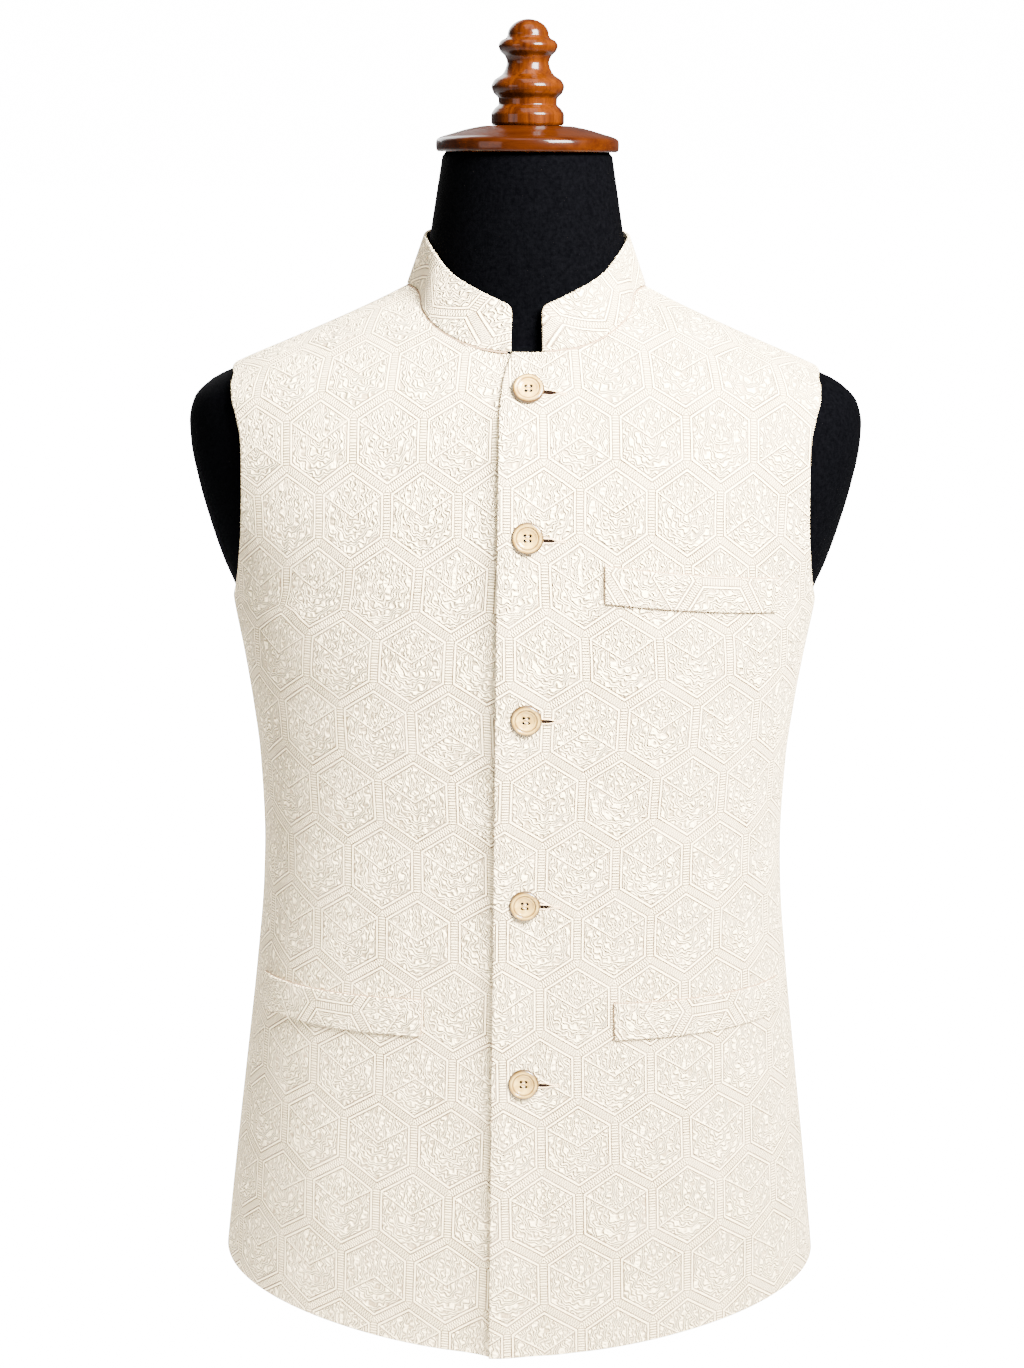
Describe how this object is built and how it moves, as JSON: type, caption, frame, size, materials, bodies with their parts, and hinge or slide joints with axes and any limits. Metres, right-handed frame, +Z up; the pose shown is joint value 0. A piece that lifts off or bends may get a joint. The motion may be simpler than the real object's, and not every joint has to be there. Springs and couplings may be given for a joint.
{
  "type": "waistcoat on dress form",
  "caption": "Buttoned stand-collar waistcoat in cream jacquard with welt pockets, shown on a limbless black dress form with a turned wooden neck cap.",
  "frame": {"origin": "centre of the form's flat foot, on the surface that it stands on, straight below the neck", "axes": "+Z up along the neck, -Y to the front where the buttons are, +X to the wearer's left"},
  "size_m": [0.4832, 0.2802, 0.9515],
  "materials": {
    "cream_jacquard": "soft low sheen, raised hexagon jacquard",
    "cream_button": "satin",
    "black_jersey": "matte knit",
    "varnished_wood": "glossy varnish"
  },
  "bodies": {
    "root": {"front_left": "cream_jacquard", "front_right": "cream_jacquard", "back": "cream_jacquard", "collar": "cream_jacquard", "welt_chest_left": "cream_jacquard", "welt_hip_left": "cream_jacquard", "welt_hip_right": "cream_jacquard", "button_1": "cream_button", "button_2": "cream_button", "button_3": "cream_button", "button_4": "cream_button", "button_5": "cream_button", "form_torso": "black_jersey", "neck_cap": "varnished_wood", "finial": "varnished_wood"}
  },
  "joints": []
}
